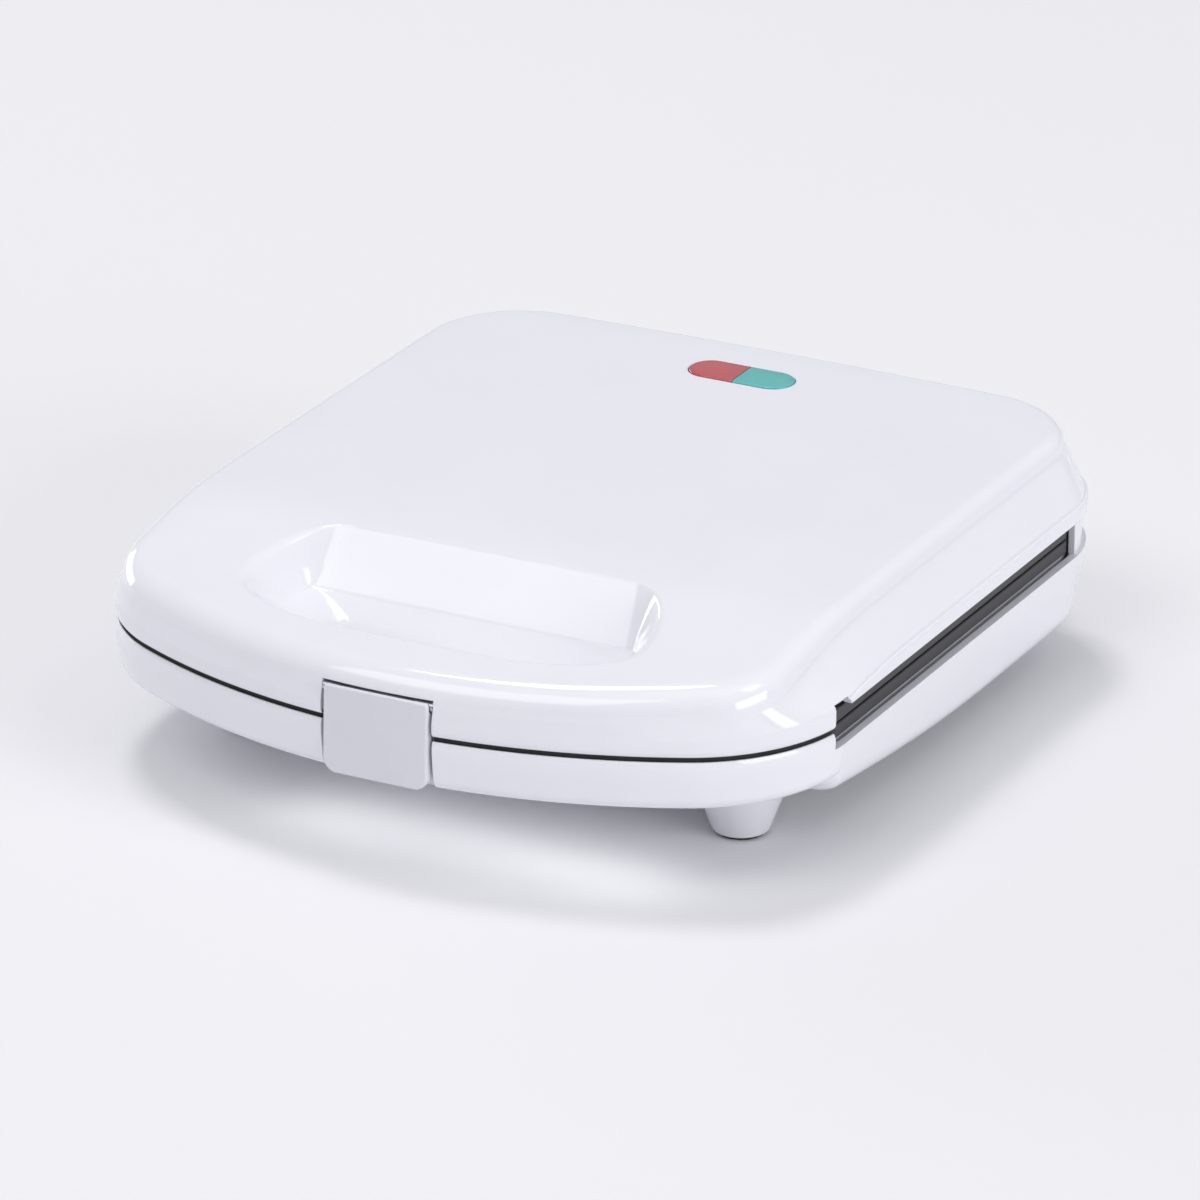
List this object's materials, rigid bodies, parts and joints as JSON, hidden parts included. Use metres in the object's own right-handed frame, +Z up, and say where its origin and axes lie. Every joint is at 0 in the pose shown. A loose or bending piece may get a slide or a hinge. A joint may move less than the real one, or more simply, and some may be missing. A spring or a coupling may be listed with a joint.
{
  "type": "sandwich maker",
  "caption": "Closed countertop sandwich maker with a hinged lid, finger recess, front latch, signal lights and non-stick plates with triangular pockets.",
  "frame": {"origin": "on the worktop under the middle of the whole, at the undersides of the feet", "axes": "+X to the right of a person at the latch, +Y to the hinge at the rear, +Z up"},
  "size_m": [0.23, 0.2651, 0.0709],
  "materials": {
    "housing_plastic": "smooth gloss white plastic with a faint lavender tint",
    "latch_plastic": "light grey satin-gloss plastic",
    "plate_coating": "cast aluminium with a dark grey non-stick coating",
    "element_sheath": "dull heat-tinted steel sheath",
    "sheet_metal": "plain mill-finish sheet",
    "steel": "bright zinc-plated steel",
    "rubber": "matt black rubber",
    "ceramic": "unglazed off-white ceramic",
    "red_lens": "clear red moulded plastic",
    "green_lens": "clear blue-green moulded plastic",
    "lamp_glass": "clear lamp glass",
    "phenolic": "dark moulded phenolic",
    "fuse_brass": "plain brass"
  },
  "bodies": {
    "base": {"base_housing": "housing_plastic", "foot_pad_front_left": "rubber", "foot_pad_front_right": "rubber", "foot_pad_rear_left": "rubber", "foot_pad_rear_right": "rubber", "lower_deck": "housing_plastic", "lower_cooking_plate": "plate_coating", "lower_heating_element": "element_sheath", "lower_element_sleeve_left": "ceramic", "lower_element_sleeve_right": "ceramic", "lower_element_strip": "sheet_metal", "lower_heat_pan": "sheet_metal", "lower_plate_bolt": "steel", "thermostat": "phenolic", "thermal_fuse": "fuse_brass", "terminal_block": "ceramic", "cord_inlet_grommet": "rubber", "base_screw_front_left": "steel", "base_screw_front_right": "steel", "base_screw_rear_left": "steel", "base_screw_rear_right": "steel", "hinge_pin_left": "steel", "hinge_pin_right": "steel"},
    "lid": {"lid_cover": "housing_plastic", "upper_deck": "housing_plastic", "upper_cooking_plate": "plate_coating", "upper_heating_element": "element_sheath", "upper_element_sleeve_left": "ceramic", "upper_element_sleeve_right": "ceramic", "upper_element_strip": "sheet_metal", "upper_heat_pan": "sheet_metal", "upper_plate_bolt": "steel", "power_lens": "red_lens", "ready_lens": "green_lens", "lamp_carrier": "phenolic", "lamp_screw_left": "steel", "lamp_screw_right": "steel", "power_lamp": "lamp_glass", "ready_lamp": "lamp_glass", "latch_pin": "steel", "lid_screw_front_left": "steel", "lid_screw_front_right": "steel", "lid_screw_rear_left": "steel", "lid_screw_rear_right": "steel"},
    "latch": {"latch": "latch_plastic"}
  },
  "joints": [
    {"name": "lid_hinge", "type": "hinge", "parent": "base", "child": "lid", "pos_m": [0, 0.12835, 0.038], "axis": [-1, 0, 0], "range_deg": [0, 100]},
    {"name": "latch_pivot", "type": "hinge", "parent": "lid", "child": "latch", "pos_m": [0, -0.12815, 0.0508], "axis": [-1, 0, 0], "range_deg": [0, 18]}
  ]
}
